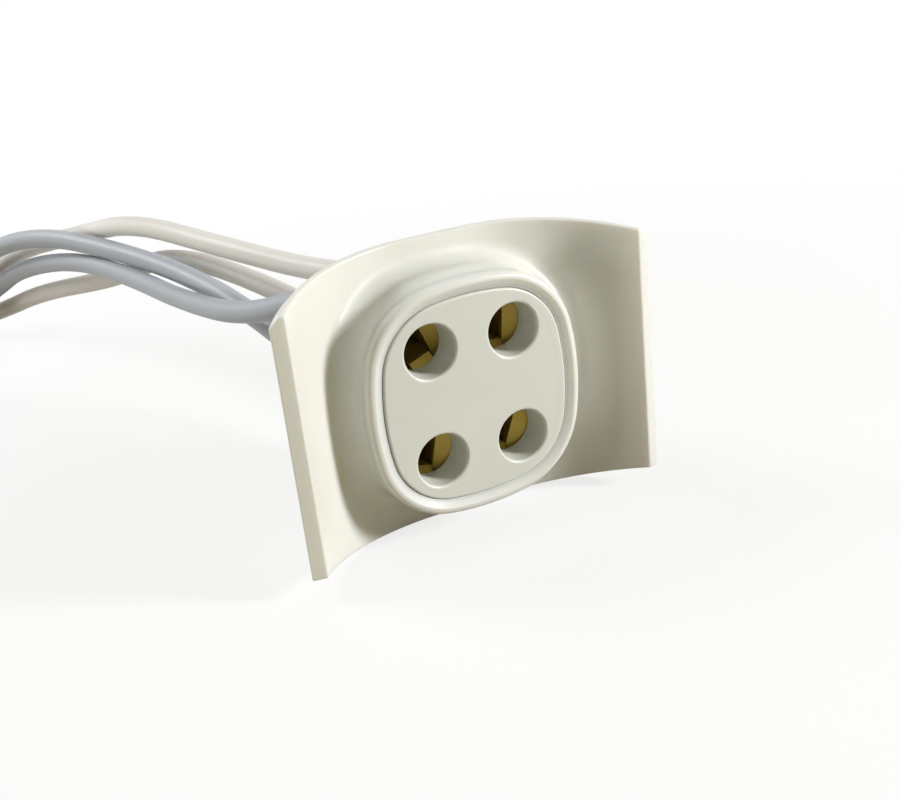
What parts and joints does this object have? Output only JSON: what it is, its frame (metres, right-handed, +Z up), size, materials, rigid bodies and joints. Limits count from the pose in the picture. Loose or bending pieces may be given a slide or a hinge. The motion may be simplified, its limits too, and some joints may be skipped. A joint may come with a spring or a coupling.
{
  "type": "circular fluorescent tube lamp holder",
  "caption": "Push-on holder for a circular fluorescent tube: a curved saddle with a pin socket in its boss, sprung brass contacts and wire leads put away in a tied coil.",
  "frame": {"origin": "middle of the pin holes, on the face of the contact block", "axes": "+X along the saddle's chord to the right as seen from the front, +Y from the face to the back, +Z up"},
  "size_m": [0.0774, 0.0917, 0.0213],
  "materials": {
    "housing_plastic": "moulded, soft gloss",
    "insert_plastic": "moulded, soft gloss",
    "contact_brass": "bent strip, bright",
    "conductor_copper": "drawn wire",
    "grey_insulation": "extruded, satin",
    "white_insulation": "extruded, satin",
    "coil_insulation": "extruded, satin",
    "tie_plastic": "moulded, satin"
  },
  "bodies": {
    "root": {"saddle_housing": "housing_plastic", "contact_block": "insert_plastic", "rear_cover": "housing_plastic", "lead_coil": "coil_insulation", "coil_tie": "tie_plastic", "spring_contact_grey_upper": "contact_brass", "spring_contact_white_upper": "contact_brass", "spring_contact_grey_lower": "contact_brass", "spring_contact_white_lower": "contact_brass", "crimped_core_grey_upper": "conductor_copper", "crimped_core_white_upper": "conductor_copper", "crimped_core_grey_lower": "conductor_copper", "crimped_core_white_lower": "conductor_copper", "lead_grey_upper": "grey_insulation", "lead_white_upper": "white_insulation", "lead_grey_lower": "grey_insulation", "lead_white_lower": "white_insulation", "bared_end_grey_upper": "conductor_copper", "bared_end_white_upper": "conductor_copper", "bared_end_grey_lower": "conductor_copper", "bared_end_white_lower": "conductor_copper"}
  },
  "joints": []
}
